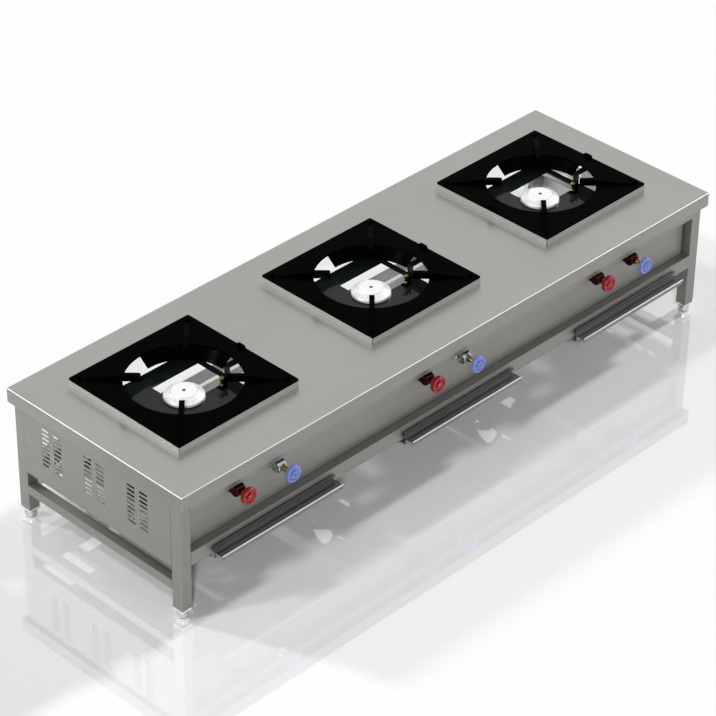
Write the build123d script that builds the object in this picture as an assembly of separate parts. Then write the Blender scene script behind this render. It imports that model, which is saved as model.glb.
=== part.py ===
from build123d import *
import os

# A low gas cooking range with three burners in a row, in millimetres.
# +X runs to the cook's right, -Y faces the cook and +Z is up.
# The origin is on the floor, under the middle of the top.

# Worktop: one folded stainless sheet with a skirt on all sides
TOP_LENGTH = 1850.0
TOP_DEPTH = 600.0
TOP_HEIGHT = 365.0
TOP_SHEET = 1.5
TOP_BEND = 3.0
SKIRT_HEIGHT = 38.0
SKIRT_RETURN = 5.0

# Frame of welded square and rectangular tube
LEG_SIZE = 32.0
LEG_CORNER = 1.7
TUBE_WALL = 1.5
OVERHANG_X = 8.0
OVERHANG_Y = 17.0
APRON_BOTTOM = 297.0
SIDE_RAIL_HEIGHT = 32.0
RAIL_BOTTOM = 145.0
RAIL_TOP = 183.0
REAR_RAIL_DROP = 25.0
STRETCHER_SIZE = 25.0
STRETCHER_BOTTOM = 77.5

# Glide feet with a square cap, on a stud that screws into an insert in each leg
FOOT_HEIGHT = 27.0
FOOT_CAP = 34.0
FOOT_CAP_HEIGHT = 7.0
FOOT_CAP_CORNER = 3.0
FOOT_RADIUS = 15.0
FOOT_NOSE_RADIUS = 11.0
FOOT_NOSE_HEIGHT = 8.0
STUD_RADIUS = 5.0
STUD_TOP = 62.0
INSERT_LENGTH = 20.0
RUNNING_GAP = 0.05

# Sheet panels between the legs
PANEL_SHEET = 1.2
PANEL_BEND = 2.0
SIDE_PANEL_BOTTOM = 141.0
SIDE_PANEL_RETURN = 15.0
FRONT_RECESS = 22.0
FRONT_PANEL_END_GAP = 10.0
LOUVRE_GROUPS = 3
LOUVRE_COLUMNS = 2
LOUVRE_ROWS = 9
LOUVRE_GROUP_PITCH = 148.0
LOUVRE_COLUMN_PITCH = 42.0
LOUVRE_ROW_PITCH = 12.6
LOUVRE_TOP = 300.0
LOUVRE_CENTRE_Y = 7.0
LOUVRE_LENGTH = 26.0
LOUVRE_HEIGHT = 6.5

# Burner places along the top
SIDES = ("left", "middle", "right")
BURNER_PITCH = 625.0
BURNER_Y = 16.0

# Pan support: square cast plate on a raised sheet collar
PLATE_SIZE = 380.0
PLATE_THICKNESS = 4.0
PLATE_CORNER = 4.0
PLATE_HOLE_RADIUS = 142.0
COLLAR_HEIGHT = 16.0
COLLAR_FLANGE = 14.0
COLLAR_NOTCH = 4.0
CUTOUT_SIZE = 350.0
FINGER_TIP_RADIUS = 100.0
FINGER_END_RADIUS = 235.0
FINGER_WIDTH = 13.0
FINGER_RISE = 12.0
CORNER_STUD_INSET = 19.0
CORNER_STUD_RADIUS = 5.0
CORNER_STUD_HEIGHT = 8.0
LUG_LENGTH = 26.0
LUG_THICKNESS = 5.0
LUG_HEIGHT = 9.0
GUARD_DROP = 23.0
GUARD_LOW_RADIUS = 117.0
GUARD_THICKNESS = 2.5
GUARD_HALF_ANGLE = 48.0

# Burner head: cast bowl on a neck, under a loose two-step cap that overhangs it
CAP_RADIUS = 49.5
CAP_DISC_RADIUS = 31.0
CAP_SEAT = 336.0
CAP_HEIGHT = 16.5
CAP_EDGE = 5.0
CAP_ROOF = 6.5
CAP_PORTS = 24
CAP_PORT_CIRCLE = 41.0
CAP_PORT_RADIUS = 1.7
BOWL_RADIUS = 47.0
BOWL_WALL = 5.0
BOWL_DEPTH = 34.0
NECK_RADIUS = 22.0
NECK_BOTTOM = 262.0
NECK_WALL = 4.0
STAND_RADIUS = 15.0
STAND_FLANGE_RADIUS = 19.0
STAND_FLANGE = 3.0
CROSS_BAR_WIDTH = 40.0

# Dark spill dish hung under each cut-out by two straps, open round the burner and behind it
PAN_SHEET = 1.0
PAN_FLOOR = 334.0
PAN_HALF = 128.0
PAN_RIM = 5.0
PAN_CORNER = 10.0
PAN_SLOT_LEFT = -30.0
PAN_SLOT_RIGHT = 116.0
PAN_SLOT_FRONT = -24.0
PAN_SLOT_BACK = 78.0
PAN_BURNER_GAP = 3.0
STRAP_END = 190.0
STRAP_WIDTH = 18.0
STRAP_SHEET = 2.0
STRAP_Y = -10.0

# Valves on the front panel: main on the left of each pair, pilot on the right
VALVE_Z = 278.0
MAIN_VALVE_OFFSET = -107.0
PILOT_VALVE_OFFSET = 23.0
BARREL_RADIUS = 15.5
BARREL_LENGTH = 26.0
BARREL_CHAMFER = 2.0
SHOULDER_RADIUS = 16.0
SHOULDER_THICKNESS = 2.0
SHANK_RADIUS = 10.0
SHANK_HOLE_GAP = 0.3
BOSS_RADIUS = 9.0
BOSS_REACH = 18.0
BLOCK_SIZE = 24.0
BLOCK_START = 11.0
BLOCK_LENGTH = 28.0
LOCK_NUT_FLATS = 26.0
LOCK_NUT_THICKNESS = 5.0
GLAND_FLATS = 15.0
GLAND_HEX = 5.0
GLAND_COLLAR_RADIUS = 6.0
GLAND_COLLAR = 3.5
SPINDLE_RADIUS = 4.0
SPINDLE_DEPTH = 12.0
WHEEL_RADIUS = 21.5
WHEEL_RIM = 13.5
WHEEL_RIM_WIDTH = 7.0
WHEEL_RIM_ROUND = 3.2
WHEEL_WEB = 6.0
WHEEL_HUB_RADIUS = 9.0
WHEEL_HUB = 14.0
HUB_RECESS = 3.0
MAIN_WHEEL_BACK = -306.0
PILOT_WHEEL_BACK = -316.0

# Gas pipes
PIPE_RADIUS = 10.65
PIPE_BORE = 8.0
PIPE_BEND = 40.0
MANIFOLD_Z = 232.0
MANIFOLD_LEFT_END = -770.0
MANIFOLD_RIGHT_END = 868.0
PIPE_CAP_RADIUS = 13.5
PIPE_CAP_LENGTH = 18.0
STUB_RADIUS = 6.0
NIPPLE_HEX_START = 300.0
NIPPLE_HEX_LENGTH = 10.0
NIPPLE_FLATS = 27.0
THREAD_RADIUS = 10.48
REAR_REACH = 330.0
CLIP_LENGTH = 16.0
CLIP_POST_WIDTH = 12.0
MIX_RADIUS = 13.0
MIX_BORE = 11.0
MIX_BEND = 60.0
MOUTH_RADIUS = 18.0
MOUTH_Y = -200.0
MOUTH_LENGTH = 25.0
MIX_TURN_START_Y = -135.0
MIX_TURN_END_Y = -55.0
JET_FLATS = 13.0
JET_HEX = 9.0
JET_LENGTH = 30.0
JET_TIP_RADIUS = 2.5

# Pilot burner on the foot of an upright strip in the spill dish
PILOT_X = 88.0
PILOT_Y = -35.0
PILOT_RADIUS = 6.5
PILOT_HEIGHT = 28.0
PILOT_TUBE_RADIUS = 3.0
PILOT_TUBE_BEND = 18.0
PILOT_TUBE_LEAD = 70.0
PILOT_TUBE_RUN_IN = 80.0
BRACKET_WIDTH = 18.0
BRACKET_THICKNESS = 2.0
BRACKET_HEIGHT = 28.0

# Drip trays that slide out under the front rail
TRAY_WIDTH = 378.0
TRAY_BACK = 189.0
TRAY_FLOOR = 128.0
TRAY_DEPTH = 15.0
TRAY_SHEET = 1.2
TRAY_BEND = 3.0
TRAY_FRONT_GAP = 5.0
HANDLE_LENGTH = 390.0
HANDLE_REACH = 28.0
HANDLE_BOTTOM = 150.0
HANDLE_TOP = 164.0
HANDLE_BEAD = 2.4
HANDLE_FOLD = 10.0
RUNNER_GAP = 1.0
RUNNER_SHEET = 2.0
RUNNER_LEDGE = 15.0
RUNNER_CLEARANCE = 0.3
RUNNER_END_INSET = 13.0

# Derived places
TOP_UNDERSIDE = TOP_HEIGHT - TOP_SHEET
LEG_X = TOP_LENGTH / 2 - OVERHANG_X
LEG_Y = TOP_DEPTH / 2 - OVERHANG_Y
INNER_X = LEG_X - LEG_SIZE
INNER_Y = LEG_Y - LEG_SIZE
PANEL_FRONT = -LEG_Y + FRONT_RECESS
PANEL_BACK = PANEL_FRONT + PANEL_SHEET
PLATE_BOTTOM = TOP_HEIGHT + COLLAR_HEIGHT
PLATE_TOP = PLATE_BOTTOM + PLATE_THICKNESS
REAR_RAIL_TOP = RAIL_TOP - REAR_RAIL_DROP
CAP_TOP = CAP_SEAT + CAP_HEIGHT
PILOT_BASE = PAN_FLOOR + BRACKET_THICKNESS
BLOCK_FRONT = PANEL_FRONT + BLOCK_START
BLOCK_BACK = BLOCK_FRONT + BLOCK_LENGTH
BARREL_Y = PANEL_FRONT - BARREL_RADIUS
BOSS_FRONT = BARREL_Y - BOSS_REACH
MANIFOLD_Y = (BLOCK_FRONT + BLOCK_BACK) / 2
BURNER_XS = [(index - 1) * BURNER_PITCH for index in range(len(SIDES))]


def block(x0, x1, y0, y1, z0, z1):
    """A box between two corners."""
    return Pos((x0 + x1) / 2, (y0 + y1) / 2, (z0 + z1) / 2) * Box(x1 - x0, y1 - y0, z1 - z0)


def tube_along_x(x0, x1, y0, y1, z0, z1):
    """A rectangular tube, open at both ends, that runs along X."""
    wall = TUBE_WALL
    return block(x0, x1, y0, y1, z0, z1) - block(x0, x1, y0 + wall, y1 - wall, z0 + wall, z1 - wall)


def tube_along_y(x0, x1, y0, y1, z0, z1):
    """A rectangular tube, open at both ends, that runs along Y."""
    wall = TUBE_WALL
    return block(x0, x1, y0, y1, z0, z1) - block(x0 + wall, x1 - wall, y0, y1, z0 + wall, z1 - wall)


def folded_sheet(plane, points, bend, thickness, width):
    """A sheet bent along the points, with its thickness to their left, of a width centred on the plane."""
    path = FilletPolyline(*points, radius=bend)
    outline = path.wire().offset_2d(thickness, Kind.INTERSECTION, Side.LEFT, closed=True)
    return extrude(plane * Face(outline), amount=width / 2, both=True)


def rod_along_y(radius, x, z, y0, y1):
    """A round rod between two places along Y."""
    return Pos(x, (y0 + y1) / 2, z) * Rot(90, 0, 0) * Cylinder(radius, y1 - y0)


def hex_along_y(flats, x, z, y0, y1):
    """A hexagonal bar between two places along Y."""
    bar = extrude(RegularPolygon(flats / 2, 6, major_radius=False), amount=y1 - y0)
    return Pos(x, y1, z) * Rot(90, 0, 0) * bar


def turned(points):
    """A solid of revolution about Z from (radius, height) points."""
    return revolve(Plane.XZ * make_face(Polyline(*points, close=True)), Axis.Z)


def group(solids):
    """Separate solids that share one node."""
    return Part() + solids


def at_corners(solid_at):
    """The four leg places, by name, each with what solid_at makes there."""
    made = {}
    for row, y in (("front", -1), ("rear", 1)):
        for end, x in (("left", -1), ("right", 1)):
            centre_x = x * (LEG_X - LEG_SIZE / 2)
            centre_y = y * (LEG_Y - LEG_SIZE / 2)
            made[row + "_" + end] = solid_at(centre_x, centre_y)
    return made


def top_plate():
    """The worktop sheet: rounded folds, a skirt with a turned-in lip, and a square cut-out per burner."""
    skirt_bottom = TOP_HEIGHT - SKIRT_HEIGHT
    half_x = TOP_LENGTH / 2
    half_y = TOP_DEPTH / 2
    outer = block(-half_x, half_x, -half_y, half_y, skirt_bottom, TOP_HEIGHT)
    outer = fillet(outer.edges().filter_by(Axis.Z), TOP_BEND)
    outer = fillet(outer.faces().sort_by(Axis.Z)[-1].edges(), TOP_BEND - 0.1)
    inner_x = half_x - TOP_SHEET
    inner_y = half_y - TOP_SHEET
    inner = block(-inner_x, inner_x, -inner_y, inner_y, skirt_bottom + TOP_SHEET, TOP_UNDERSIDE)
    inner = fillet(inner.edges().filter_by(Axis.Z), TOP_BEND - TOP_SHEET)
    inner = fillet(inner.faces().sort_by(Axis.Z)[-1].edges(), TOP_BEND - TOP_SHEET - 0.1)
    lip_x = inner_x - SKIRT_RETURN
    lip_y = inner_y - SKIRT_RETURN
    sheet = outer - inner - block(-lip_x, lip_x, -lip_y, lip_y, skirt_bottom, skirt_bottom + TOP_SHEET)
    half_cut = CUTOUT_SIZE / 2
    for x in BURNER_XS:
        sheet -= block(x - half_cut, x + half_cut, BURNER_Y - half_cut, BURNER_Y + half_cut,
                       TOP_UNDERSIDE, TOP_HEIGHT)
    return sheet


def burner_collar(x):
    """A raised sheet frame round one cut-out, with a flange for the plate and open corner seams."""
    half = PLATE_SIZE / 2
    wall = half - PANEL_SHEET
    lip = half - COLLAR_FLANGE
    under_flange = PLATE_BOTTOM - PANEL_SHEET
    frame = block(-half, half, -half, half, TOP_HEIGHT, PLATE_BOTTOM)
    frame -= block(-wall, wall, -wall, wall, TOP_HEIGHT, under_flange)
    frame -= block(-lip, lip, -lip, lip, under_flange, PLATE_BOTTOM)
    for side_x in (-1, 1):
        for side_y in (-1, 1):
            notch = Box(COLLAR_NOTCH, COLLAR_NOTCH, under_flange - TOP_HEIGHT)
            frame -= Pos(side_x * half, side_y * half, (TOP_HEIGHT + under_flange) / 2) * notch
    return Pos(x, BURNER_Y, 0) * frame


def leg(x, y):
    """A square tube leg from the foot to the underside of the top."""
    ring = RectangleRounded(LEG_SIZE, LEG_SIZE, LEG_CORNER)
    ring -= RectangleRounded(LEG_SIZE - 2 * TUBE_WALL, LEG_SIZE - 2 * TUBE_WALL, LEG_CORNER - TUBE_WALL)
    return Pos(x, y, FOOT_HEIGHT) * extrude(ring, amount=TOP_UNDERSIDE - FOOT_HEIGHT)


def leg_insert(x, y):
    """The threaded plug in the foot of a leg."""
    bore = LEG_SIZE - 2 * TUBE_WALL
    ring = RectangleRounded(bore, bore, LEG_CORNER - TUBE_WALL) - Circle(STUD_RADIUS + RUNNING_GAP)
    return Pos(x, y, FOOT_HEIGHT) * extrude(ring, amount=INSERT_LENGTH)


def foot(x, y):
    """A glide foot: square cap under the tube, round body with a rounded nose on the floor, and a stud."""
    cap_bottom = FOOT_HEIGHT - FOOT_CAP_HEIGHT
    profile = [
        (0, 0), (FOOT_NOSE_RADIUS, 0), (FOOT_NOSE_RADIUS + 2.5, 2.0), (FOOT_RADIUS, FOOT_NOSE_HEIGHT),
        (FOOT_RADIUS, cap_bottom),
        (STUD_RADIUS, cap_bottom), (STUD_RADIUS, STUD_TOP), (0, STUD_TOP),
    ]
    square = RectangleRounded(FOOT_CAP, FOOT_CAP, FOOT_CAP_CORNER)
    cap = extrude(square, amount=FOOT_CAP_HEIGHT)
    cap = chamfer(cap.faces().sort_by(Axis.Z)[0].edges(), 1.0)
    return Pos(x, y, 0) * (turned(profile) + Pos(0, 0, cap_bottom) * cap)


def side_panel(side):
    """A side sheet between the legs, turned in along its foot, with groups of vent slots."""
    foot_end = -LEG_X + SIDE_PANEL_RETURN
    points = [(-LEG_X, TOP_UNDERSIDE), (-LEG_X, SIDE_PANEL_BOTTOM), (foot_end, SIDE_PANEL_BOTTOM)]
    sheet = folded_sheet(Plane.XZ, points, PANEL_BEND, PANEL_SHEET, 2 * INNER_Y)
    slot = Box(4 * PANEL_SHEET, LOUVRE_LENGTH, LOUVRE_HEIGHT)
    slots = []
    for band in range(LOUVRE_GROUPS):
        band_y = LOUVRE_CENTRE_Y + (band - (LOUVRE_GROUPS - 1) / 2) * LOUVRE_GROUP_PITCH
        for column in range(LOUVRE_COLUMNS):
            y = band_y + (column - (LOUVRE_COLUMNS - 1) / 2) * LOUVRE_COLUMN_PITCH
            for row in range(LOUVRE_ROWS):
                slots.append(Pos(-LEG_X, y, LOUVRE_TOP - row * LOUVRE_ROW_PITCH) * slot)
    sheet -= slots
    if side == "right":
        sheet = mirror(sheet, about=Plane.YZ)
    return sheet


def front_panel():
    """The recessed valve panel: a shallow folded pan between the apron and the front rail."""
    flange_end = -INNER_Y
    points = [
        (flange_end, APRON_BOTTOM), (PANEL_FRONT, APRON_BOTTOM),
        (PANEL_FRONT, RAIL_TOP), (flange_end, RAIL_TOP),
    ]
    pan = folded_sheet(Plane.YZ, points, PANEL_BEND, PANEL_SHEET, 2 * (INNER_X - FRONT_PANEL_END_GAP))
    for x in BURNER_XS:
        for offset in (MAIN_VALVE_OFFSET, PILOT_VALVE_OFFSET):
            pan -= rod_along_y(SHANK_RADIUS + SHANK_HOLE_GAP, x + offset, VALVE_Z, PANEL_FRONT, PANEL_BACK)
    return pan


def cross_bar(x):
    """The bar under a burner, from the back of the front rail to over the lower rear rail."""
    half = CROSS_BAR_WIDTH / 2
    return tube_along_y(x - half, x + half, -INNER_Y, LEG_Y, REAR_RAIL_TOP, RAIL_TOP)


def burner_stand(x):
    """The flanged tube that carries a burner on its bar."""
    bore = STAND_RADIUS - 2.0
    flange_top = RAIL_TOP + STAND_FLANGE
    profile = [
        (bore, RAIL_TOP), (STAND_FLANGE_RADIUS, RAIL_TOP), (STAND_FLANGE_RADIUS, flange_top),
        (STAND_RADIUS, flange_top), (STAND_RADIUS, NECK_BOTTOM), (bore, NECK_BOTTOM),
    ]
    return Pos(x, BURNER_Y, 0) * turned(profile)


def burner_base(x):
    """The cast bowl and neck, hollow inside, with a flat rim under the cap."""
    bowl_bottom = CAP_SEAT - BOWL_DEPTH
    inside = BOWL_RADIUS - BOWL_WALL
    bore = NECK_RADIUS - NECK_WALL
    profile = [
        (0, NECK_BOTTOM), (NECK_RADIUS, NECK_BOTTOM), (NECK_RADIUS, bowl_bottom - 6),
        (NECK_RADIUS + 8, bowl_bottom), (BOWL_RADIUS - 3, CAP_SEAT - 13), (BOWL_RADIUS, CAP_SEAT - 9),
        (BOWL_RADIUS, CAP_SEAT), (inside, CAP_SEAT), (inside, CAP_SEAT - 9),
        (NECK_RADIUS + 4, bowl_bottom + 4),
        (bore, bowl_bottom - 3), (bore, NECK_BOTTOM + NECK_WALL), (0, NECK_BOTTOM + NECK_WALL),
    ]
    gas_way = rod_along_y(MIX_BORE, 0, VALVE_Z, -NECK_RADIUS - 1, 0)
    return Pos(x, BURNER_Y, 0) * (turned(profile) - gas_way)


def burner_cap(x):
    """The loose cap: flat disc, sloping ring drilled with flame ports, and a flat rim on the bowl."""
    inside = BOWL_RADIUS - BOWL_WALL
    edge_top = CAP_SEAT + CAP_EDGE
    roof = CAP_TOP - CAP_ROOF
    profile = [
        (0, CAP_TOP), (CAP_DISC_RADIUS, CAP_TOP), (CAP_DISC_RADIUS + 2, CAP_TOP - 2),
        (CAP_RADIUS - 1.5, edge_top + 1.5), (CAP_RADIUS, edge_top), (CAP_RADIUS, CAP_SEAT),
        (inside, CAP_SEAT),
        (inside, CAP_SEAT + 2), (CAP_DISC_RADIUS - 1, roof), (0, roof),
    ]
    cap = turned(profile)
    port = extrude(RegularPolygon(CAP_PORT_RADIUS, 6), amount=CAP_TOP - CAP_SEAT)
    ports = []
    for index in range(CAP_PORTS):
        ports.append(Rot(0, 0, 360.0 * index / CAP_PORTS) * Pos(CAP_PORT_CIRCLE, 0, CAP_SEAT) * port)
    dimple = Pos(0, 0, CAP_TOP) * Cylinder(2.5, 4.0)
    return Pos(x, BURNER_Y, 0) * (cap - ports - dimple)


def pan_support(x):
    """The square plate with its round hole, diagonal ribs, corner studs, lifting lugs and sloping guards."""
    half = PLATE_SIZE / 2
    sheet = RectangleRounded(PLATE_SIZE, PLATE_SIZE, PLATE_CORNER) - Circle(PLATE_HOLE_RADIUS)
    plate = Pos(0, 0, PLATE_BOTTOM) * extrude(sheet, amount=PLATE_THICKNESS)
    rib_top = PLATE_TOP + FINGER_RISE
    rib_profile = Polyline(
        (FINGER_TIP_RADIUS + 2, PLATE_BOTTOM), (FINGER_TIP_RADIUS, PLATE_BOTTOM + 2),
        (FINGER_TIP_RADIUS, rib_top - 3), (FINGER_TIP_RADIUS + 3, rib_top), (PLATE_HOLE_RADIUS + 14, rib_top),
        (FINGER_END_RADIUS, PLATE_TOP + 2), (FINGER_END_RADIUS, PLATE_BOTTOM), close=True)
    rib = extrude(Plane.XZ * make_face(rib_profile), amount=FINGER_WIDTH / 2, both=True)
    stud = Cylinder(CORNER_STUD_RADIUS, CORNER_STUD_HEIGHT, align=(Align.CENTER, Align.CENTER, Align.MIN))
    stud = chamfer(stud.edges().sort_by(Axis.Z)[-1], 1.5)
    reach = half - CORNER_STUD_INSET
    for quarter in range(4):
        plate += Rot(0, 0, 45 + 90 * quarter) * rib
        plate += Rot(0, 0, 90 * quarter) * Pos(reach, reach, PLATE_TOP) * stud
    lug = Box(LUG_THICKNESS, LUG_LENGTH, LUG_HEIGHT, align=(Align.CENTER, Align.CENTER, Align.MIN))
    lug = fillet(lug.edges().filter_by(Axis.X).group_by(Axis.Z)[-1], LUG_HEIGHT * 0.6)
    for side in (-1, 1):
        plate += Pos(side * (half - LUG_THICKNESS), 0, PLATE_TOP) * lug
    guard_profile = Polyline(
        (PLATE_HOLE_RADIUS, PLATE_BOTTOM), (PLATE_HOLE_RADIUS + GUARD_THICKNESS, PLATE_BOTTOM),
        (GUARD_LOW_RADIUS + GUARD_THICKNESS, PLATE_BOTTOM - GUARD_DROP),
        (GUARD_LOW_RADIUS, PLATE_BOTTOM - GUARD_DROP), close=True)
    guard = revolve(Plane.XZ * make_face(guard_profile), Axis.Z, revolution_arc=2 * GUARD_HALF_ANGLE)
    for facing in (45, 225):
        plate += Rot(0, 0, facing - GUARD_HALF_ANGLE) * guard
    return Pos(x, BURNER_Y, 0) * plate


def valve(x):
    """A valve through the front panel: barrel and boss in front, shank and square block behind."""
    barrel = Cylinder(BARREL_RADIUS, BARREL_LENGTH)
    barrel = chamfer(barrel.edges().filter_by(GeomType.CIRCLE), BARREL_CHAMFER)
    body = Pos(x, BARREL_Y, VALVE_Z) * Rot(0, 90, 0) * barrel
    body += rod_along_y(SHOULDER_RADIUS, x, VALVE_Z, PANEL_FRONT - SHOULDER_THICKNESS, PANEL_FRONT)
    body += rod_along_y(BOSS_RADIUS, x, VALVE_Z, BOSS_FRONT, BARREL_Y)
    body += rod_along_y(SHANK_RADIUS, x, VALVE_Z, PANEL_FRONT - SHOULDER_THICKNESS, BLOCK_FRONT)
    half = BLOCK_SIZE / 2
    body += block(x - half, x + half, BLOCK_FRONT, BLOCK_BACK, VALVE_Z - half, VALVE_Z + half)
    bore_end = BOSS_FRONT + SPINDLE_DEPTH + 2
    return body - rod_along_y(SPINDLE_RADIUS + RUNNING_GAP, x, VALVE_Z, BOSS_FRONT, bore_end)


def lock_nut(x):
    """The nut that clamps a valve to the back of the panel."""
    nut = hex_along_y(LOCK_NUT_FLATS, x, VALVE_Z, PANEL_BACK, PANEL_BACK + LOCK_NUT_THICKNESS)
    return nut - rod_along_y(SHANK_RADIUS + RUNNING_GAP, x, VALVE_Z, PANEL_BACK - 1, BLOCK_FRONT)


def gland_nut(x):
    """The brass nut round a spindle, on the front of the valve's boss, with a round collar before it."""
    hex_front = BOSS_FRONT - GLAND_HEX
    front = hex_front - GLAND_COLLAR
    nut = hex_along_y(GLAND_FLATS, x, VALVE_Z, hex_front, BOSS_FRONT)
    nut += rod_along_y(GLAND_COLLAR_RADIUS, x, VALVE_Z, front, hex_front)
    return nut - rod_along_y(SPINDLE_RADIUS + RUNNING_GAP, x, VALVE_Z, front, BOSS_FRONT)


def handwheel(x, back):
    """A round moulded wheel: thick rounded rim, thinner web and a hub with a recess."""
    rim_centre = WHEEL_RADIUS - WHEEL_RIM_WIDTH / 2
    hub_width = WHEEL_HUB_RADIUS - SPINDLE_RADIUS
    web_width = WHEEL_RADIUS - WHEEL_RIM_WIDTH / 2 - WHEEL_HUB_RADIUS
    profile = Pos(rim_centre, WHEEL_RIM / 2) * RectangleRounded(WHEEL_RIM_WIDTH, WHEEL_RIM, WHEEL_RIM_ROUND)
    profile += Pos(WHEEL_HUB_RADIUS + web_width / 2, WHEEL_RIM / 2) * Rectangle(web_width, WHEEL_WEB)
    profile += Pos(SPINDLE_RADIUS + hub_width / 2, WHEEL_HUB / 2) * Rectangle(hub_width, WHEEL_HUB)
    return Pos(x, back, VALVE_Z) * Rot(90, 0, 0) * revolve(Plane.XZ * profile, Axis.Z)


def spindle(x, back):
    """The brass spindle from inside the valve to the bottom of the wheel's recess."""
    return rod_along_y(SPINDLE_RADIUS, x, VALVE_Z, back - WHEEL_HUB + HUB_RECESS, BOSS_FRONT + SPINDLE_DEPTH)


def gas_manifold():
    """The supply pipe: behind the valves, round a bend and out at the rear, with a stub per valve."""
    route = FilletPolyline(
        (MANIFOLD_LEFT_END, MANIFOLD_Y, MANIFOLD_Z), (MANIFOLD_RIGHT_END, MANIFOLD_Y, MANIFOLD_Z),
        (MANIFOLD_RIGHT_END, NIPPLE_HEX_START, MANIFOLD_Z), radius=PIPE_BEND)
    start = Plane((MANIFOLD_LEFT_END, MANIFOLD_Y, MANIFOLD_Z), z_dir=(1, 0, 0))
    pipe = sweep(start * Circle(PIPE_RADIUS), path=route)
    stub_top = VALVE_Z - BLOCK_SIZE / 2
    for x in BURNER_XS:
        for offset in (MAIN_VALVE_OFFSET, PILOT_VALVE_OFFSET):
            stub = Cylinder(STUB_RADIUS, stub_top - MANIFOLD_Z, align=(Align.CENTER, Align.CENTER, Align.MIN))
            pipe += Pos(x + offset, MANIFOLD_Y, MANIFOLD_Z) * stub
    pipe -= sweep(start * Circle(PIPE_BORE), path=route)
    cap = Rot(0, 90, 0) * Cylinder(PIPE_CAP_RADIUS, PIPE_CAP_LENGTH)
    return pipe + Pos(MANIFOLD_LEFT_END - PIPE_CAP_LENGTH / 2, MANIFOLD_Y, MANIFOLD_Z) * cap


def inlet_nipple():
    """The rear gas connection: a hexagon against the pipe's end and a half-inch male thread."""
    hex_end = NIPPLE_HEX_START + NIPPLE_HEX_LENGTH
    x = MANIFOLD_RIGHT_END
    nipple = hex_along_y(NIPPLE_FLATS, x, MANIFOLD_Z, NIPPLE_HEX_START, hex_end)
    nipple += rod_along_y(THREAD_RADIUS, x, MANIFOLD_Z, hex_end, REAR_REACH)
    return nipple - rod_along_y(PIPE_BORE, x, MANIFOLD_Z, NIPPLE_HEX_START, REAR_REACH)


def pipe_clip():
    """The saddle on a post on the rear rail that holds the supply pipe."""
    x = MANIFOLD_RIGHT_END
    y0 = LEG_Y - LEG_SIZE / 2 - CLIP_LENGTH / 2
    y1 = y0 + CLIP_LENGTH
    half = CLIP_POST_WIDTH / 2
    saddle = rod_along_y(PIPE_CAP_RADIUS, x, MANIFOLD_Z, y0, y1)
    saddle += block(x - half, x + half, y0, y1, REAR_RAIL_TOP, MANIFOLD_Z)
    return saddle - rod_along_y(PIPE_RADIUS + RUNNING_GAP, x, MANIFOLD_Z, y0, y1)


def main_jet(x):
    """The brass jet on the back of a main valve, aimed into the mixing tube."""
    hex_end = BLOCK_BACK + JET_HEX
    jet = hex_along_y(JET_FLATS, x, VALVE_Z, BLOCK_BACK, hex_end)
    on_base = (Align.CENTER, Align.CENTER, Align.MIN)
    cone = Cone(JET_FLATS / 2 - 0.5, JET_TIP_RADIUS, JET_LENGTH - JET_HEX, align=on_base)
    return jet + Pos(x, hex_end, VALVE_Z) * Rot(-90, 0, 0) * cone


def mixing_tube(x):
    """The bent tube that takes gas and air from a main jet to the burner's neck."""
    mouth_x = x + MAIN_VALVE_OFFSET
    throat_y = MOUTH_Y + MOUTH_LENGTH
    route = FilletPolyline(
        (mouth_x, throat_y, VALVE_Z), (mouth_x, MIX_TURN_START_Y, VALVE_Z), (x, MIX_TURN_END_Y, VALVE_Z),
        (x, BURNER_Y, VALVE_Z), radius=MIX_BEND)
    start = Plane((mouth_x, throat_y, VALVE_Z), z_dir=(0, 1, 0))
    tube = sweep(start * Circle(MIX_RADIUS), path=route)
    tube -= sweep(start * Circle(MIX_BORE), path=route)
    wall = MIX_RADIUS - MIX_BORE
    middle = Pos(mouth_x, MOUTH_Y + MOUTH_LENGTH / 2, VALVE_Z) * Rot(-90, 0, 0)
    mouth = middle * Cone(MOUTH_RADIUS, MIX_RADIUS, MOUTH_LENGTH)
    mouth -= middle * Cone(MOUTH_RADIUS - wall, MIX_BORE, MOUTH_LENGTH)
    neck = Pos(x, BURNER_Y, VALVE_Z) * Cylinder(NECK_RADIUS, 4 * MIX_RADIUS)
    return tube + mouth - neck


def spill_pan(x):
    """A shallow dark dish round one burner, with a slot behind it and a strap up to the top on both sides."""
    inside = PAN_HALF - PAN_SHEET
    rim = PAN_FLOOR + PAN_RIM
    under = PAN_FLOOR - PAN_SHEET
    dish = block(-PAN_HALF, PAN_HALF, -PAN_HALF, PAN_HALF, under, rim)
    dish = fillet(dish.edges().filter_by(Axis.Z), PAN_CORNER)
    hollow = block(-inside, inside, -inside, inside, PAN_FLOOR, rim)
    dish -= fillet(hollow.edges().filter_by(Axis.Z), PAN_CORNER - PAN_SHEET)
    middle = PAN_FLOOR - PAN_SHEET / 2
    dish -= Pos(0, 0, middle) * Cylinder(BOWL_RADIUS + PAN_BURNER_GAP, 2 * PAN_SHEET)
    dish -= block(PAN_SLOT_LEFT, PAN_SLOT_RIGHT, PAN_SLOT_FRONT, PAN_SLOT_BACK, under, PAN_FLOOR)
    dish -= Pos(PILOT_X, PILOT_Y, middle) * Cylinder(PILOT_TUBE_RADIUS + RUNNING_GAP, 2 * PAN_SHEET)
    y0 = STRAP_Y - STRAP_WIDTH / 2
    y1 = STRAP_Y + STRAP_WIDTH / 2
    strap = block(PAN_HALF, PAN_HALF + STRAP_SHEET, y0, y1, under, TOP_UNDERSIDE)
    strap += block(PAN_HALF, STRAP_END, y0, y1, TOP_UNDERSIDE - STRAP_SHEET, TOP_UNDERSIDE)
    dish += strap
    dish += mirror(strap, about=Plane.YZ)
    return Pos(x, BURNER_Y, 0) * dish


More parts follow.
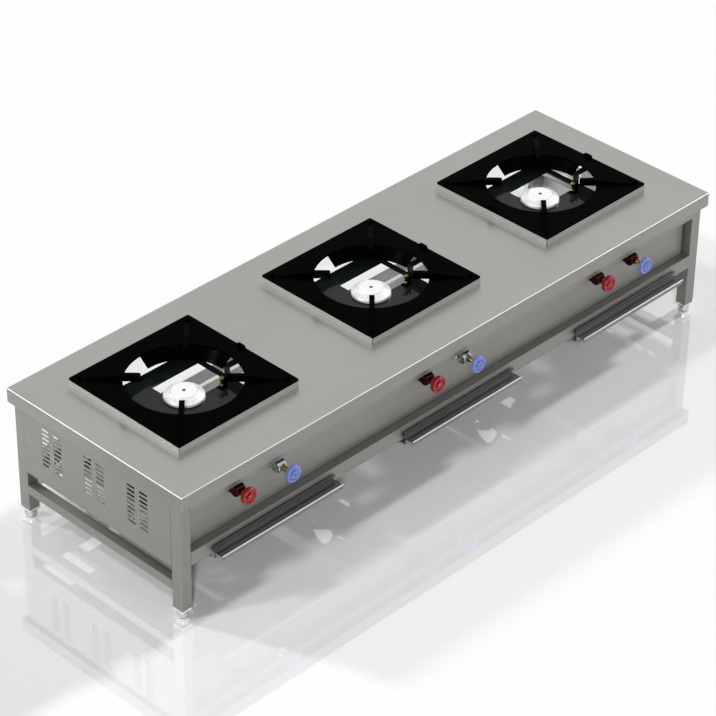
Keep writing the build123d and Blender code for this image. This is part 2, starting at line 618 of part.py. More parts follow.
def pilot_bracket(x):
    """The strip that stands in the spill dish, on a foot that carries the pilot burner."""
    back = PILOT_X + PILOT_RADIUS + BRACKET_THICKNESS + 2
    foot_end = PILOT_X - PILOT_RADIUS - 2
    half = BRACKET_WIDTH / 2
    strip = block(foot_end, back, -half, half, PAN_FLOOR, PILOT_BASE)
    strip += block(back - BRACKET_THICKNESS, back, -half, half, PAN_FLOOR, PAN_FLOOR + BRACKET_HEIGHT)
    strip -= Pos(PILOT_X, 0, PAN_FLOOR) * Cylinder(PILOT_TUBE_RADIUS + RUNNING_GAP, 4 * BRACKET_THICKNESS)
    return Pos(x, BURNER_Y + PILOT_Y, 0) * strip


def pilot_burner(x):
    """The small brass pilot head that stands on its foot."""
    waist = PILOT_RADIUS - 2
    top = PILOT_BASE + PILOT_HEIGHT
    profile = [
        (0, PILOT_BASE), (PILOT_RADIUS, PILOT_BASE), (PILOT_RADIUS, PILOT_BASE + 8), (waist, PILOT_BASE + 10),
        (waist, top - 9), (PILOT_RADIUS, top - 7), (PILOT_RADIUS, top - 2), (waist, top), (0, top),
    ]
    return Pos(x + PILOT_X, BURNER_Y + PILOT_Y, 0) * turned(profile)


def pilot_tube(x):
    """The thin gas tube from a pilot valve to its pilot burner."""
    valve_x = x + PILOT_VALVE_OFFSET
    burner_x = x + PILOT_X
    burner_y = BURNER_Y + PILOT_Y
    route = FilletPolyline(
        (valve_x, BLOCK_BACK, VALVE_Z), (valve_x, BLOCK_BACK + PILOT_TUBE_LEAD, VALVE_Z),
        (burner_x, burner_y - PILOT_TUBE_RUN_IN, VALVE_Z), (burner_x, burner_y, VALVE_Z),
        (burner_x, burner_y, PILOT_BASE),
        radius=PILOT_TUBE_BEND)
    start = Plane((valve_x, BLOCK_BACK, VALVE_Z), z_dir=(0, 1, 0))
    return sweep(start * Circle(PILOT_TUBE_RADIUS), path=route)


def drip_tray(x):
    """A shallow tray whose front turns up before the rail and carries a folded, beaded ledge as a pull."""
    front = -LEG_Y - TRAY_FRONT_GAP
    rim = TRAY_FLOOR + TRAY_DEPTH
    points = [(front, HANDLE_TOP), (front, TRAY_FLOOR), (TRAY_BACK, TRAY_FLOOR), (TRAY_BACK, rim)]
    tray = folded_sheet(Plane.YZ, points, TRAY_BEND, TRAY_SHEET, TRAY_WIDTH)
    for side in (-1, 1):
        outer = side * TRAY_WIDTH / 2
        x0, x1 = sorted((outer, outer - side * TRAY_SHEET))
        tray += block(x0, x1, front + TRAY_BEND, TRAY_BACK - TRAY_BEND, TRAY_FLOOR, rim)
    half = HANDLE_LENGTH / 2
    lip = front - HANDLE_REACH
    tray += block(-half, half, front, front + TRAY_SHEET, HANDLE_BOTTOM, HANDLE_TOP)
    tray += block(-half, half, lip, front, HANDLE_BOTTOM, HANDLE_BOTTOM + TRAY_SHEET)
    tray += block(-half, half, lip, lip + TRAY_SHEET, HANDLE_BOTTOM - HANDLE_FOLD, HANDLE_BOTTOM)
    bead = Rot(0, 90, 0) * Cylinder(HANDLE_BEAD, HANDLE_LENGTH)
    tray += Pos(0, lip, HANDLE_BOTTOM + HANDLE_BEAD) * bead
    tray += Pos(0, front + TRAY_SHEET / 2, HANDLE_TOP) * bead
    return Pos(x, 0, 0) * tray


def tray_runner(x, side):
    """The angle under one side of a tray, hung from the front rail and fixed to the face of the rear rail."""
    inner = TRAY_WIDTH / 2 + RUNNER_GAP
    ledge_top = TRAY_FLOOR - RUNNER_CLEARANCE
    front = -LEG_Y + RUNNER_END_INSET
    points = [(inner + RUNNER_SHEET, RAIL_BOTTOM), (inner + RUNNER_SHEET, ledge_top - RUNNER_SHEET),
              (inner - RUNNER_LEDGE, ledge_top - RUNNER_SHEET)]
    outline = Polyline(*points).wire().offset_2d(RUNNER_SHEET, Kind.INTERSECTION, Side.RIGHT, closed=True)
    angle = extrude(Plane.XZ * Face(outline), amount=(INNER_Y - front) / 2, both=True)
    angle = Pos(0, (INNER_Y + front) / 2, 0) * angle
    if side < 0:
        angle = mirror(angle, about=Plane.YZ)
    return Pos(x, 0, 0) * angle


def frame_nodes():
    """The welded frame: legs with inserts, rails, aprons and stretchers."""
    nodes = {}
    for place, solid in at_corners(leg).items():
        nodes[place + "_leg"] = solid
    nodes["leg_inserts"] = group(list(at_corners(leg_insert).values()))
    apron = tube_along_x(-INNER_X, INNER_X, -LEG_Y, -INNER_Y, APRON_BOTTOM, TOP_UNDERSIDE)
    rail = tube_along_x(-INNER_X, INNER_X, -LEG_Y, -INNER_Y, RAIL_BOTTOM, RAIL_TOP)
    nodes["front_top_rail"] = apron
    nodes["rear_top_rail"] = mirror(apron, about=Plane.XZ)
    nodes["front_lower_rail"] = rail
    nodes["rear_lower_rail"] = Pos(0, 0, -REAR_RAIL_DROP) * mirror(rail, about=Plane.XZ)
    side_rail = tube_along_y(INNER_X, LEG_X - PANEL_SHEET, -INNER_Y, INNER_Y,
                             TOP_UNDERSIDE - SIDE_RAIL_HEIGHT, TOP_UNDERSIDE)
    nodes["side_top_rails"] = group([side_rail, mirror(side_rail, about=Plane.YZ)])
    stretcher_top = STRETCHER_BOTTOM + STRETCHER_SIZE
    side_stretcher = tube_along_y(LEG_X - STRETCHER_SIZE, LEG_X, -INNER_Y, INNER_Y,
                                  STRETCHER_BOTTOM, stretcher_top)
    nodes["side_stretchers"] = group([side_stretcher, mirror(side_stretcher, about=Plane.YZ)])
    nodes["rear_stretcher"] = tube_along_x(-INNER_X, INNER_X, LEG_Y - STRETCHER_SIZE, LEG_Y,
                                           STRETCHER_BOTTOM, stretcher_top)
    return nodes


def sheet_nodes():
    """The worktop, the collars and the panels."""
    return {
        "top_plate": top_plate(),
        "burner_collars": group([burner_collar(x) for x in BURNER_XS]),
        "front_panel": front_panel(),
        "left_panel": side_panel("left"),
        "right_panel": side_panel("right"),
    }


def burner_nodes():
    """What stands under and on each burner place, with the trays."""
    nodes = {
        "burner_cross_bars": group([cross_bar(x) for x in BURNER_XS]),
        "burner_stands": group([burner_stand(x) for x in BURNER_XS]),
        "burner_bases": group([burner_base(x) for x in BURNER_XS]),
        "mixing_tubes": group([mixing_tube(x) for x in BURNER_XS]),
        "spill_pans": group([spill_pan(x) for x in BURNER_XS]),
        "pilot_brackets": group([pilot_bracket(x) for x in BURNER_XS]),
        "pilot_burners": group([pilot_burner(x) for x in BURNER_XS]),
        "pilot_tubes": group([pilot_tube(x) for x in BURNER_XS]),
        "tray_runners": group([tray_runner(x, side) for x in BURNER_XS for side in (-1, 1)]),
    }
    for name, x in zip(SIDES, BURNER_XS):
        nodes["burner_cap_" + name] = burner_cap(x)
        nodes["pan_support_" + name] = pan_support(x)
        nodes["drip_tray_" + name] = drip_tray(x)
    return nodes


def gas_nodes():
    """The supply pipe, the valves and their wheels."""
    main_xs = [x + MAIN_VALVE_OFFSET for x in BURNER_XS]
    pilot_xs = [x + PILOT_VALVE_OFFSET for x in BURNER_XS]
    nodes = {
        "gas_manifold": gas_manifold(),
        "inlet_nipple": inlet_nipple(),
        "pipe_clip": pipe_clip(),
        "main_jets": group([main_jet(x) for x in main_xs]),
        "main_valves": group([valve(x) for x in main_xs]),
        "pilot_valves": group([valve(x) for x in pilot_xs]),
        "lock_nuts": group([lock_nut(x) for x in main_xs + pilot_xs]),
        "gland_nuts": group([gland_nut(x) for x in main_xs + pilot_xs]),
    }
    for kind, places, back in (("main", main_xs, MAIN_WHEEL_BACK), ("pilot", pilot_xs, PILOT_WHEEL_BACK)):
        for name, x in zip(SIDES, places):
            nodes[kind + "_wheel_" + name] = handwheel(x, back)
            nodes[kind + "_spindle_" + name] = spindle(x, back)
    return nodes


def build():
    """Every node of the range, by name."""
    nodes = frame_nodes()
    nodes.update(sheet_nodes())
    nodes.update(burner_nodes())
    nodes.update(gas_nodes())
    for place, solid in at_corners(foot).items():
        nodes[place + "_foot"] = solid
    return nodes


os.makedirs("parts", exist_ok=True)
for node_name, node_shape in build().items():
    export_step(node_shape, "parts/" + node_name + ".step")
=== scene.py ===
"""Looks for a three burner gas cooking range: materials, small fittings, studio light and camera."""
import math

import bmesh
import bpy
from mathutils import Matrix, Vector


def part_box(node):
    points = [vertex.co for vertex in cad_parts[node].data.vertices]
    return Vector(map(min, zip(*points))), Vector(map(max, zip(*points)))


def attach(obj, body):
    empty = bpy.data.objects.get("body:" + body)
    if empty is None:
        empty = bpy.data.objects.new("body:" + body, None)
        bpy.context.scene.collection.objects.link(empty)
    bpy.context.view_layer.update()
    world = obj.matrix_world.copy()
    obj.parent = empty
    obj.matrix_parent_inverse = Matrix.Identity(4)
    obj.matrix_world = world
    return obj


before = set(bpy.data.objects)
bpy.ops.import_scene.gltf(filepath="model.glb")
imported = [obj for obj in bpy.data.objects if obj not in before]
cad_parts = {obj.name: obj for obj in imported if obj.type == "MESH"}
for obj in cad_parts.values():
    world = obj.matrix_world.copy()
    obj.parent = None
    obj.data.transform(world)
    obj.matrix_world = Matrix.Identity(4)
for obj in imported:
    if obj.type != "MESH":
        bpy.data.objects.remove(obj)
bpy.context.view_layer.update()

# The photograph's frame and its camera, in pixels, millimetres, degrees and metres
IMAGE_SIZE = 716
FOCAL_PIXELS = 2991.06
SENSOR_WIDTH = 36.0
CAMERA_AZIMUTH = -45.98
CAMERA_ELEVATION = 34.62
CAMERA_ROLL = 0.8
CAMERA_RIGHT = -0.04366
CAMERA_UP = -0.17831
CAMERA_BACK = 7.32823
TOP_CENTRE = Vector((0.0, 0.0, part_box("top_plate")[1].z))

# Names in the frame
ROOT = "range"
SIDES = ("left", "middle", "right")
CORNERS = ("front_left", "front_right", "rear_left", "rear_right")

# Small fittings, in metres
INLET_RADIUS = 0.01048
INLET_PITCH = 0.0018
INLET_THREAD_LENGTH = 0.019
INLET_THREAD_HEIGHT = 0.3 * INLET_PITCH
WHEEL_SCREW_RADIUS = 0.0038
WHEEL_SCREW_RISE = 0.0022
CAP_SCREW_RADIUS = 0.0045
CAP_SCREW_RISE = 0.0012

# Widths of the bands that take another colour, most of them painted light or painted shade, and how far
# one reaches past an end, in metres
BEYOND = 0.0001
LEDGE_SKIN = 0.0002
FOLD_DEPTH = 0.0016
FOLD_LIP = 0.0003
TRAY_BEAD_WIDTH = 0.0017
TRAY_RIM_HEIGHT = 0.0074
REAR_OUTER_SKIN = 0.0025
RAIL_END_LENGTH = 0.165
PANEL_OUTER_SKIN = 0.0005
VALVE_SPAN = 0.1
FOOT_CAP_HEIGHT = 0.0070
FOOT_GROOVE_HEIGHT = 0.0035
FOOT_SOLE_HEIGHT = 0.0020

# The studio, in metres, degrees and light strengths
FLOOR_SIZE = 40.0
FLOOR_COLOR = (0.97, 0.97, 0.97)
FLOOR_ROUGHNESS = 0.02
FLOOR_IOR = 2.4
WORLD_ON_MATT = 0.20
WORLD_SEEN = 1.0
SUN_ANGLE = 5.0
SUNS = {
    "rear_light": ((-0.31, 0.76, 0.57), 0.85),
    "left_light": ((-0.62, 0.28, 0.74), 0.70),
    "right_light": ((0.85, -0.02, 0.53), 1.60),
    "front_light": ((-0.59, -0.57, 0.57), 1.25),
}

# The middle of a noise, where nearly all of its values lie
NOISE_MIDDLE = (0.3, 0.7)

# Directions of a grain, as the stretch of its noise along X, Y and Z
ALONG_X = (0.02, 1.0, 1.0)
ALONG_Y = (1.0, 0.02, 1.0)
ALONG_Z = (1.0, 1.0, 0.02)
EVENLY = (1.0, 1.0, 1.0)

# Colours of the steel sheet
STEEL_DARK = (0.288, 0.283, 0.269)
STEEL_MIDDLE = (0.298, 0.293, 0.279)
STEEL_LIGHT = (0.308, 0.303, 0.289)
# Painted light on the inside faces of the rear rails and the right panel
PAINTED_LIGHT_INSIDE = (0.92, 0.92, 0.91)


def new_material(name, color, metallic, roughness):
    """A principled material, with its node tree and its shader."""
    material = bpy.data.materials.new(name)
    material.use_nodes = True
    tree = material.node_tree
    shader = tree.nodes["Principled BSDF"]
    shader.inputs["Base Color"].default_value = (*color, 1.0)
    shader.inputs["Metallic"].default_value = metallic
    shader.inputs["Roughness"].default_value = roughness
    return material, tree, shader


def noise(tree, scale, stretch=EVENLY, detail=4.0):
    """A noise texture in object space, stretched along the axes."""
    place = tree.nodes.new("ShaderNodeTexCoord")
    mapping = tree.nodes.new("ShaderNodeMapping")
    mapping.inputs["Scale"].default_value = stretch
    texture = tree.nodes.new("ShaderNodeTexNoise")
    texture.inputs["Scale"].default_value = scale
    texture.inputs["Detail"].default_value = detail
    tree.links.new(place.outputs["Object"], mapping.inputs["Vector"])
    tree.links.new(mapping.outputs["Vector"], texture.inputs["Vector"])
    return texture.outputs["Fac"]


def spread(tree, value, limits=(0.0, 1.0)):
    """Maps the middle of a noise to the given limits."""
    node = tree.nodes.new("ShaderNodeMapRange")
    node.inputs["From Min"].default_value = NOISE_MIDDLE[0]
    node.inputs["From Max"].default_value = NOISE_MIDDLE[1]
    node.inputs["To Min"].default_value = limits[0]
    node.inputs["To Max"].default_value = limits[1]
    tree.links.new(value, node.inputs["Value"])
    return node.outputs["Result"]


def mix_colors(tree, factor, first, second):
    """A colour between two colours."""
    node = tree.nodes.new("ShaderNodeMix")
    node.data_type = "RGBA"
    node.inputs["A"].default_value = (*first, 1.0)
    node.inputs["B"].default_value = (*second, 1.0)
    tree.links.new(factor, node.inputs["Factor"])
    return node.outputs["Result"]


def add_bump(tree, shader, height, strength, distance):
    """A bump on the shader from a height value."""
    node = tree.nodes.new("ShaderNodeBump")
    node.inputs["Strength"].default_value = strength
    node.inputs["Distance"].default_value = distance
    tree.links.new(height, node.inputs["Height"])
    tree.links.new(node.outputs["Normal"], shader.inputs["Normal"])


def varied_metal(name, dark, light, rough, stretch, scale, bump):
    """A metal that is cloudy in colour, with a grain in its gloss and its surface."""
    material, tree, shader = new_material(name, light, metallic=1.0, roughness=rough[0])
    cloud = spread(tree, noise(tree, scale=3.0))
    grain = noise(tree, scale, stretch, detail=6.0)
    tree.links.new(mix_colors(tree, cloud, dark, light), shader.inputs["Base Color"])
    tree.links.new(spread(tree, grain, rough), shader.inputs["Roughness"])
    add_bump(tree, shader, grain, bump, distance=0.0003)
    return material


def sheet_metal(name, stretch, dark=STEEL_DARK, light=STEEL_LIGHT, rough=(0.48, 0.58)):
    """Satin stainless sheet, polished along one direction."""
    return varied_metal(name, dark, light, rough, stretch, scale=60.0, bump=0.03)


def smooth_metal(name, dark, light, rough, stretch=EVENLY):
    """Plated or polished metal."""
    return varied_metal(name, dark, light, rough, stretch, scale=80.0, bump=0.01)


def brass_metal(name, dark, light):
    """Turned brass."""
    return varied_metal(name, dark, light, rough=(0.16, 0.28), stretch=EVENLY, scale=120.0, bump=0.02)


def mottled_metal(name, dark, light, scale):
    """Metal with painted light and dark patches that stand in for reflections and glints."""
    material, tree, shader = new_material(name, light, metallic=1.0, roughness=0.15)
    patches = spread(tree, noise(tree, scale))
    tree.links.new(mix_colors(tree, patches, dark, light), shader.inputs["Base Color"])
    tree.links.new(spread(tree, noise(tree, scale=200.0), (0.10, 0.20)), shader.inputs["Roughness"])
    return material


def enamel(name, color, gloss, rough):
    """Dark enamel with a faint ripple."""
    material, tree, shader = new_material(name, color, metallic=0.0, roughness=rough[0])
    shader.inputs["Specular IOR Level"].default_value = gloss
    ripple = noise(tree, scale=90.0)
    tree.links.new(spread(tree, ripple, rough), shader.inputs["Roughness"])
    add_bump(tree, shader, ripple, strength=0.05, distance=0.0004)
    return material


def moulded(name, dark, light):
    """Glossy moulded plastic, a little uneven in colour and gloss."""
    material, tree, shader = new_material(name, light, metallic=0.0, roughness=0.28)
    cloud = spread(tree, noise(tree, scale=45.0))
    tree.links.new(mix_colors(tree, cloud, dark, light), shader.inputs["Base Color"])
    tree.links.new(spread(tree, noise(tree, scale=160.0), (0.22, 0.36)), shader.inputs["Roughness"])
    return material


def burner_metal():
    """Bright burner casting with a fine grain."""
    material, tree, shader = new_material("burner_metal", (0.95, 0.95, 0.95), metallic=0.1, roughness=0.3)
    grain = noise(tree, scale=300.0)
    tree.links.new(spread(tree, grain, (0.24, 0.38)), shader.inputs["Roughness"])
    add_bump(tree, shader, grain, strength=0.04, distance=0.0002)
    return material


def cast_iron():
    """Rough grey casting."""
    dark = (0.045, 0.045, 0.047)
    light = (0.10, 0.10, 0.10)
    material, tree, shader = new_material("cast_iron", light, metallic=0.6, roughness=0.55)
    sand = noise(tree, scale=260.0, detail=8.0)
    tree.links.new(mix_colors(tree, sand, dark, light), shader.inputs["Base Color"])
    add_bump(tree, shader, sand, strength=0.25, distance=0.0006)
    return material


def recolor_band(material, axis, start, end, color):
    """Gives a metal another colour between two places along an axis of the node's own space."""
    tree = material.node_tree
    base = tree.nodes["Principled BSDF"].inputs["Base Color"]
    plain = base.links[0].from_socket
    place = tree.nodes.new("ShaderNodeTexCoord")
    split = tree.nodes.new("ShaderNodeSeparateXYZ")
    inside = tree.nodes.new("ShaderNodeMath")
    inside.operation = "COMPARE"
    inside.inputs[1].default_value = (start + end) / 2
    inside.inputs[2].default_value = (end - start) / 2
    mix = tree.nodes.new("ShaderNodeMix")
    mix.data_type = "RGBA"
    mix.inputs["B"].default_value = (*color, 1.0)
    tree.links.new(place.outputs["Object"], split.inputs["Vector"])
    tree.links.new(split.outputs[axis], inside.inputs[0])
    tree.links.new(inside.outputs["Value"], mix.inputs["Factor"])
    tree.links.new(plain, mix.inputs["A"])
    tree.links.new(mix.outputs["Result"], base)


def front_rail_steel():
    """The front lower rail, with painted shade on the ledge that faces up."""
    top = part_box("front_lower_rail")[1].z
    steel = sheet_metal("satin_stainless_rail", ALONG_X)
    # Painted shade on the top face of the ledge
    recolor_band(steel, "Z", top - LEDGE_SKIN, top + BEYOND, color=(0.24, 0.24, 0.23))
    return steel


def worktop_steel():
    """The worktop, its top face painted lighter than its skirt, and a painted highlight along its fold.
    """
    low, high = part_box("top_plate")
    # The top face is painted lighter than the skirt and the other steel, as painted light
    dark = (0.356, 0.351, 0.334)
    light = (0.382, 0.377, 0.360)
    steel = sheet_metal("satin_stainless_top", ALONG_X, dark, light, rough=(0.30, 0.38))
    # The skirt keeps the plain steel colour
    recolor_band(steel, "Z", low.z - BEYOND, high.z - FOLD_DEPTH, STEEL_MIDDLE)
    # Painted highlight along the fold
    recolor_band(steel, "Z", high.z - FOLD_DEPTH, high.z - FOLD_LIP, color=(0.70, 0.70, 0.69))
    return steel


def rear_steel(name, node):
    """A bar at the rear, with painted light on its inside."""
    low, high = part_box(node)
    steel = sheet_metal(name, ALONG_X)
    # Painted light on the inside, up to a thin outer skin
    recolor_band(steel, "Y", low.y - BEYOND, high.y - REAR_OUTER_SKIN, PAINTED_LIGHT_INSIDE)
    return steel


def rear_rail_steel():
    """The rear lower rail, with painted light on its inside apart from its left end, which keeps the
    plain steel colour.
    """
    left_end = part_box("rear_lower_rail")[0].x
    steel = rear_steel("satin_stainless_rear_rail", "rear_lower_rail")
    # The left end keeps the plain steel colour, without the painted light
    recolor_band(steel, "X", left_end - BEYOND, left_end + RAIL_END_LENGTH, STEEL_MIDDLE)
    return steel


def right_panel_steel():
    """The right panel, with painted light on its inside."""
    low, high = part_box("right_panel")
    steel = sheet_metal("satin_stainless_right", ALONG_Y)
    # Painted light on the inside, up to a thin outer skin
    recolor_band(steel, "X", low.x - BEYOND, high.x - PANEL_OUTER_SKIN, PAINTED_LIGHT_INSIDE)
    return steel


def tray_steel():
    """The drip trays, with painted shade along the upper edge of the front and a painted highlight along
    the edge of the pull.
    """
    low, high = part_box("drip_tray_left")
    dark = (0.20, 0.20, 0.195)
    light = (0.27, 0.27, 0.26)
    steel = varied_metal("polished_tray", dark, light, (0.20, 0.30), ALONG_X, scale=60.0, bump=0.02)
    # Painted shade along the upper edge of the front
    recolor_band(steel, "Z", high.z - TRAY_RIM_HEIGHT, high.z + BEYOND, color=(0.10, 0.10, 0.10))
    # Painted highlight along the edge of the pull
    recolor_band(steel, "Y", low.y - BEYOND, low.y + TRAY_BEAD_WIDTH, color=(0.66, 0.66, 0.65))
    return steel


def foot_steel():
    """The feet, with a painted highlight on the cap under the leg, a line of painted shade below it and
    painted shade along the sole.
    """
    cap_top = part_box("front_left_leg")[0].z
    cap_bottom = cap_top - FOOT_CAP_HEIGHT
    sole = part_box("front_left_foot")[0].z
    steel = smooth_metal("bright_foot", (0.66, 0.66, 0.66), (0.74, 0.74, 0.74), (0.10, 0.18), ALONG_Z)
    # Painted highlight on the cap
    recolor_band(steel, "Z", cap_bottom, cap_top + BEYOND, color=(0.95, 0.95, 0.95))
    # Painted shade in a line below the cap
    recolor_band(steel, "Z", cap_bottom - FOOT_GROOVE_HEIGHT, cap_bottom, color=(0.10, 0.10, 0.10))
    # Painted shade along the sole
    recolor_band(steel, "Z", sole - BEYOND, sole + FOOT_SOLE_HEIGHT, color=(0.15, 0.15, 0.15))
    return steel


def pilot_chrome():
    """The pilot valves: chrome with painted light and dark patches that stand in for reflections, and
    dark red on the right burner.
    """
    right_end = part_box("pilot_valves")[1].x
    # Light and dark patches that stand in for reflections, painted into the colour
    metal = mottled_metal("pilot_chrome", (0.05, 0.06, 0.055), (0.62, 0.64, 0.62), scale=70.0)
    recolor_band(metal, "X", right_end - VALVE_SPAN, right_end + BEYOND, color=(0.05, 0.008, 0.010))
    return metal


steel_x = sheet_metal("satin_stainless_x", ALONG_X)
steel_y = sheet_metal("satin_stainless_y", ALONG_Y)
steel_z = sheet_metal("satin_stainless_z", ALONG_Z)
# The collars are painted lighter than the other steel, as painted light
collar_steel = sheet_metal("satin_stainless_collar", ALONG_X, (0.50, 0.49, 0.47), (0.55, 0.54, 0.52))
pipe_steel = varied_metal("pipe_steel", (0.36, 0.37, 0.38), (0.50, 0.51, 0.52), (0.34, 0.48), ALONG_X,
                          scale=40.0, bump=0.05)
screw_steel = smooth_metal("screw_steel", (0.12, 0.12, 0.125), (0.18, 0.18, 0.185), (0.25, 0.35))
tray_finish = tray_steel()
foot_finish = foot_steel()
chrome = smooth_metal("chrome", (0.34, 0.35, 0.35), (0.42, 0.42, 0.42), (0.10, 0.18))
maroon_metal = smooth_metal("dark_valve", (0.035, 0.006, 0.008), (0.06, 0.010, 0.012), (0.16, 0.26))
brass = brass_metal("brass", (0.38, 0.27, 0.09), (0.52, 0.38, 0.15))
dark_brass = brass_metal("dark_brass", (0.07, 0.055, 0.02), (0.13, 0.10, 0.04))
# Brass with painted glints: gold patches on a dark ground
valve_brass = mottled_metal("valve_brass", (0.10, 0.07, 0.03), (0.62, 0.45, 0.17), scale=160.0)
black = enamel("black_enamel", (0.0008, 0.0008, 0.0010), gloss=0.005, rough=(0.18, 0.30))
dark_pan = enamel("dark_pan", (0.011, 0.014, 0.015), gloss=0.15, rough=(0.06, 0.10))
red = moulded("red_plastic", (0.28, 0.006, 0.010), (0.36, 0.008, 0.014))
blue = moulded("blue_plastic", (0.16, 0.22, 0.58), (0.21, 0.28, 0.68))
bright_burner = burner_metal()
iron = cast_iron()

finishes = {
    "top_plate": worktop_steel(),
    "front_top_rail": steel_x,
    "rear_top_rail": steel_x,
    "front_lower_rail": front_rail_steel(),
    "rear_lower_rail": rear_rail_steel(),
    "rear_stretcher": rear_steel("satin_stainless_stretcher", "rear_stretcher"),
    "front_panel": steel_x,
    "burner_collars": collar_steel,
    "side_top_rails": steel_y,
    "side_stretchers": steel_y,
    "left_panel": steel_y,
    "right_panel": right_panel_steel(),
    "burner_cross_bars": steel_y,
    "tray_runners": steel_y,
    "leg_inserts": steel_z,
    "burner_stands": steel_z,
    "burner_bases": iron,
    "mixing_tubes": iron,
    "pilot_brackets": black,
    "spill_pans": dark_pan,
    "pilot_burners": dark_brass,
    "pilot_tubes": chrome,
    "main_jets": brass,
    "main_valves": maroon_metal,
    "pilot_valves": pilot_chrome(),
    "lock_nuts": chrome,
    "gland_nuts": valve_brass,
    "gas_manifold": pipe_steel,
    "pipe_clip": pipe_steel,
    "inlet_nipple": brass,
}
for corner in CORNERS:
    finishes[corner + "_leg"] = steel_z
    finishes[corner + "_foot"] = foot_finish
for side in SIDES:
    finishes["burner_cap_" + side] = bright_burner
    finishes["pan_support_" + side] = black
    finishes["drip_tray_" + side] = tray_finish
    finishes["main_wheel_" + side] = red
    finishes["pilot_wheel_" + side] = blue
    finishes["main_spindle_" + side] = valve_brass
    finishes["pilot_spindle_" + side] = valve_brass
for node, finish in finishes.items():
    for material_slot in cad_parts[node].material_slots:
        material_slot.material = finish


def add_piece(name, mesh, material, body):
    """Links a finished mesh as a piece of the range."""
    mesh.materials.append(material)
    piece = bpy.data.objects.new(name, mesh)
    bpy.context.scene.collection.objects.link(piece)
    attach(piece, body)


def thread_mesh(name, origin, along, radius, pitch, length, height):
    """A ridge that winds round an axis as an outside thread does, fading out at both ends."""
    steps_per_turn = 36
    fade_steps = 12.0
    sunk = 0.00015
    half_width = 0.42 * pitch
    half = along * half_width
    across = along.orthogonal().normalized()
    upward = along.cross(across)
    steps = int(length / pitch * steps_per_turn)
    shape = bmesh.new()
    rows = []
    for step in range(steps + 1):
        angle = 2.0 * math.pi * step / steps_per_turn
        outward = across * math.cos(angle) + upward * math.sin(angle)
        centre = origin + along * (length * step / steps)
        fade = min(1.0, step / fade_steps, (steps - step) / fade_steps)
        root = centre + outward * (radius - sunk)
        crest = centre + outward * (radius + height * fade)
        rows.append([shape.verts.new(root - half), shape.verts.new(crest), shape.verts.new(root + half)])
    for first, second in zip(rows, rows[1:]):
        for corner in range(3):
            after = (corner + 1) % 3
            shape.faces.new((first[corner], first[after], second[after], second[corner]))
    shape.faces.new(rows[0][::-1])
    shape.faces.new(rows[-1])
    bmesh.ops.recalc_face_normals(shape, faces=shape.faces)
    mesh = bpy.data.meshes.new(name)
    shape.to_mesh(mesh)
    shape.free()
    mesh.shade_smooth()
    return mesh


def domed_head(name, radius, rise):
    """A domed disc that stands on the plane of X and Z, with its crown towards -Y."""
    segments = 32
    rings = ((1.0, 0.0), (1.0, 0.45), (0.86, 0.78), (0.55, 0.95))
    shape = bmesh.new()
    loops = []
    for share, height in rings:
        loop = []
        for step in range(segments):
            angle = 2.0 * math.pi * step / segments
            across = radius * share * math.cos(angle)
            up = radius * share * math.sin(angle)
            loop.append(shape.verts.new((across, -rise * height, up)))
        loops.append(loop)
    for low, high in zip(loops, loops[1:]):
        for step in range(segments):
            after = (step + 1) % segments
            shape.faces.new((low[step], low[after], high[after], high[step]))
    shape.faces.new(loops[-1])
    shape.faces.new(loops[0][::-1])
    bmesh.ops.recalc_face_normals(shape, faces=shape.faces)
    mesh = bpy.data.meshes.new(name)
    shape.to_mesh(mesh)
    shape.free()
    return mesh


def slotted_head(name, centre, radius, rise, turn):
    """A domed screw head with a straight slot, its axis along -Y before it is turned."""
    slot_length = 2.4 * radius
    slot_width = 0.32 * radius
    slot_angle = math.radians(35.0)
    head = bpy.data.objects.new(name, domed_head(name, radius, rise))
    bpy.context.scene.collection.objects.link(head)
    bpy.ops.mesh.primitive_cube_add(size=1.0, location=(0.0, -rise, 0.0))
    cutter = bpy.context.object
    cutter.scale = (slot_length, rise, slot_width)
    cutter.rotation_euler = (0.0, slot_angle, 0.0)
    cut = head.modifiers.new("slot", "BOOLEAN")
    cut.operation = "DIFFERENCE"
    cut.object = cutter
    bpy.context.view_layer.update()
    slotted = head.evaluated_get(bpy.context.evaluated_depsgraph_get())
    mesh = bpy.data.meshes.new_from_object(slotted)
    bpy.data.objects.remove(cutter)
    bpy.data.objects.remove(head)
    mesh.transform(Matrix.Translation(centre) @ turn)
    return mesh


def add_inlet_thread():
    """The thread on the gas inlet."""
    low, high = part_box("inlet_nipple")
    start = Vector(((low.x + high.x) / 2, high.y - INLET_THREAD_LENGTH, (low.z + high.z) / 2))
    rearward = Vector((0.0, 1.0, 0.0))
    length = INLET_THREAD_LENGTH - INLET_PITCH
    mesh = thread_mesh("inlet_thread", start, rearward, INLET_RADIUS, INLET_PITCH, length,
                       INLET_THREAD_HEIGHT)
    add_piece("inlet_thread", mesh, brass, ROOT)


def add_wheel_screws():
    """The slotted screw at the middle of each valve wheel."""
    for kind in ("main", "pilot"):
        for side in SIDES:
            low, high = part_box(kind + "_spindle_" + side)
            centre = Vector(((low.x + high.x) / 2, low.y, (low.z + high.z) / 2))
            name = kind + "_screw_" + side
            mesh = slotted_head(name, centre, WHEEL_SCREW_RADIUS, WHEEL_SCREW_RISE, Matrix.Identity(4))
            add_piece(name, mesh, valve_brass, kind + "_knob_" + side)


def add_cap_screws():
    """The dark screw at the middle of each burner cap."""
    upward = Matrix.Rotation(math.radians(-90.0), 4, "X")
    for side in SIDES:
        low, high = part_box("burner_cap_" + side)
        centre = Vector(((low.x + high.x) / 2, (low.y + high.y) / 2, high.z))
        name = "cap_screw_" + side
        mesh = slotted_head(name, centre, CAP_SCREW_RADIUS, CAP_SCREW_RISE, upward)
        add_piece(name, mesh, screw_steel, "cap_" + side)


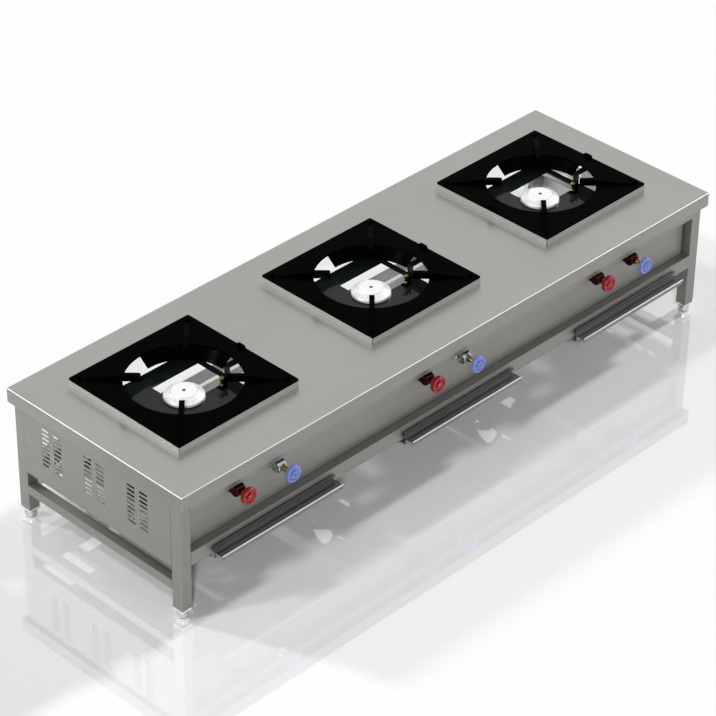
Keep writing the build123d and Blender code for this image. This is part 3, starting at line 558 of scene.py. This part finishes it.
def add_floor():
    """A white glossy floor that takes the shadow."""
    bpy.ops.mesh.primitive_plane_add(size=FLOOR_SIZE, location=(0.0, 0.0, 0.0))
    floor = bpy.context.object
    floor.name = "floor"
    material, _, shader = new_material("floor", FLOOR_COLOR, metallic=0.0, roughness=FLOOR_ROUGHNESS)
    shader.inputs["IOR"].default_value = FLOOR_IOR
    floor.data.materials.append(material)


def add_world():
    """An even surround, white where it is seen or mirrored and dim where it lights a matt surface."""
    world = bpy.data.worlds.new("studio")
    world.use_nodes = True
    bpy.context.scene.world = world
    tree = world.node_tree
    background = tree.nodes["Background"]
    background.inputs["Color"].default_value = (1.0, 1.0, 1.0, 1.0)
    path = tree.nodes.new("ShaderNodeLightPath")
    seen = path.outputs["Is Camera Ray"]
    for ray in ("Is Glossy Ray", "Is Transmission Ray"):
        either = tree.nodes.new("ShaderNodeMath")
        either.operation = "MAXIMUM"
        tree.links.new(seen, either.inputs[0])
        tree.links.new(path.outputs[ray], either.inputs[1])
        seen = either.outputs["Value"]
    strength = tree.nodes.new("ShaderNodeMapRange")
    strength.inputs["To Min"].default_value = WORLD_ON_MATT
    strength.inputs["To Max"].default_value = WORLD_SEEN
    tree.links.new(seen, strength.inputs["Value"])
    tree.links.new(strength.outputs["Result"], background.inputs["Strength"])


def add_sun(name, direction, strength):
    """A soft sun that shines from a direction."""
    light = bpy.data.lights.new(name, "SUN")
    light.energy = strength
    light.angle = math.radians(SUN_ANGLE)
    lamp = bpy.data.objects.new(name, light)
    lamp.rotation_euler = Vector(direction).to_track_quat("Z", "Y").to_euler()
    bpy.context.scene.collection.objects.link(lamp)


def add_camera():
    """The camera that the photograph's straight edges give, with no shift."""
    azimuth = math.radians(CAMERA_AZIMUTH)
    elevation = math.radians(CAMERA_ELEVATION)
    roll = math.radians(CAMERA_ROLL)
    level = math.cos(elevation)
    back = Vector((math.sin(azimuth) * level, -math.cos(azimuth) * level, math.sin(elevation)))
    level_right = Vector((math.cos(azimuth), math.sin(azimuth), 0.0))
    level_up = back.cross(level_right)
    right = level_right * math.cos(roll) + level_up * math.sin(roll)
    up = level_up * math.cos(roll) - level_right * math.sin(roll)
    data = bpy.data.cameras.new("camera")
    data.sensor_width = SENSOR_WIDTH
    data.lens = FOCAL_PIXELS * SENSOR_WIDTH / IMAGE_SIZE
    camera = bpy.data.objects.new("camera", data)
    turn = Matrix((right, up, back)).transposed()
    place = TOP_CENTRE + right * CAMERA_RIGHT + up * CAMERA_UP + back * CAMERA_BACK
    camera.matrix_world = Matrix.Translation(place) @ turn.to_4x4()
    bpy.context.scene.collection.objects.link(camera)
    bpy.context.scene.camera = camera


add_inlet_thread()
add_wheel_screws()
add_cap_screws()
add_floor()
add_world()
for sun_name, (sun_direction, sun_strength) in SUNS.items():
    add_sun(sun_name, sun_direction, sun_strength)
add_camera()
bpy.context.scene.view_settings.view_transform = "Standard"
